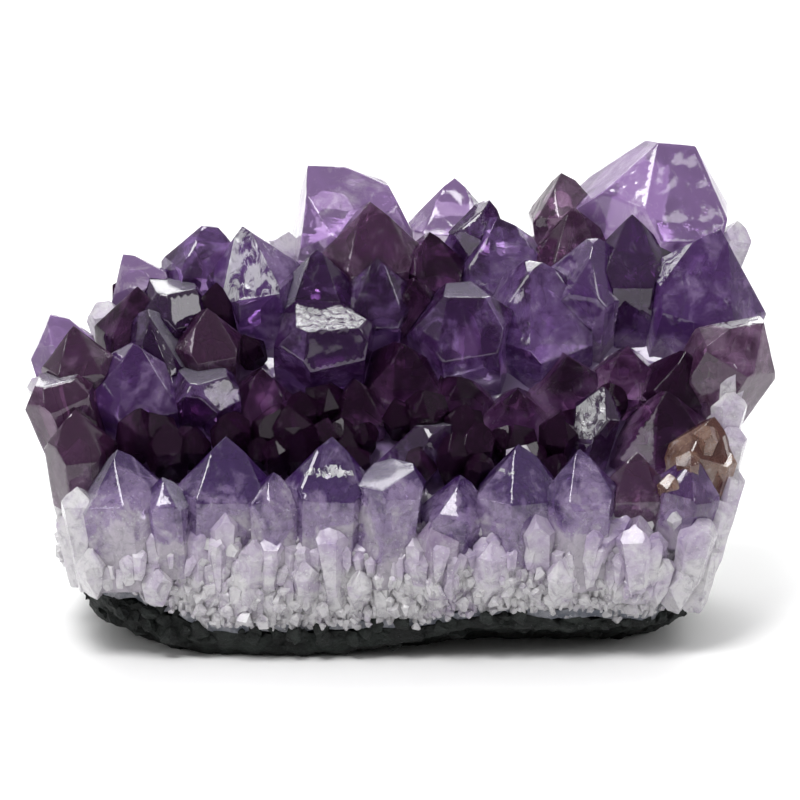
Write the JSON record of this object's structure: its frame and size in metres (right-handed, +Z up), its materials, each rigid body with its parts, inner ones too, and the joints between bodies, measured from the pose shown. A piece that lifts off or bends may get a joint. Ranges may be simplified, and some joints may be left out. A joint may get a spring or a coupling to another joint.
{
  "type": "amethyst cluster",
  "caption": "Piece of geode wall with violet quartz points over white columnar quartz, a grey chalcedony band and a dark volcanic rind; it stands on its rough foot.",
  "frame": {"origin": "under the middle of the whole piece, on the surface it stands on", "axes": "+X to the right of the show face along the longest extent, +Y to the back, +Z up"},
  "size_m": [0.1494, 0.0798, 0.0923],
  "materials": {
    "rind": "dark green-black granular basalt, rough",
    "chalcedony": "grey-blue chalcedony, waxy",
    "quartz": "milky white columnar quartz, vitreous and translucent",
    "amethyst": "violet quartz, vitreous and translucent, paler at the root"
  },
  "bodies": {
    "root": {"volcanic_rind": "rind", "chalcedony_band": "chalcedony", "quartz_bed": "quartz", "front_point_01": "amethyst", "front_point_02": "amethyst", "front_point_03": "amethyst", "front_point_04": "amethyst", "front_point_05": "amethyst", "front_point_06": "amethyst", "front_point_07": "amethyst", "front_point_08": "amethyst", "front_point_09": "amethyst", "front_point_10": "amethyst", "front_point_11": "amethyst", "pocket_point_01": "amethyst", "pocket_point_02": "amethyst", "pocket_point_03": "amethyst", "pocket_point_04": "amethyst", "pocket_point_05": "amethyst", "pocket_point_06": "amethyst", "pocket_point_07": "amethyst", "pocket_point_08": "amethyst", "pocket_point_09": "amethyst", "pocket_point_10": "amethyst", "pocket_point_11": "amethyst", "pocket_point_12": "amethyst", "pocket_point_13": "amethyst", "pocket_point_14": "amethyst", "pocket_point_15": "amethyst", "pocket_point_16": "amethyst", "pocket_point_17": "amethyst", "pocket_point_18": "amethyst", "wall_point_01": "amethyst", "wall_point_02": "amethyst", "wall_point_03": "amethyst", "wall_point_04": "amethyst", "wall_point_05": "amethyst", "wall_point_06": "amethyst", "wall_point_07": "amethyst", "wall_point_08": "amethyst", "wall_point_09": "amethyst", "wall_point_10": "amethyst", "wall_point_11": "amethyst", "wall_point_12": "amethyst", "wall_point_13": "amethyst", "wall_point_14": "amethyst", "wall_point_15": "amethyst", "wall_point_16": "amethyst", "wall_point_17": "amethyst", "wall_point_18": "amethyst", "wall_point_19": "amethyst", "wall_point_20": "amethyst", "wall_point_21": "amethyst", "wall_point_22": "amethyst", "wall_point_23": "amethyst", "wall_point_24": "amethyst", "wall_point_25": "amethyst", "wall_point_26": "amethyst", "wall_point_27": "amethyst", "wall_point_28": "amethyst"}
  },
  "joints": []
}
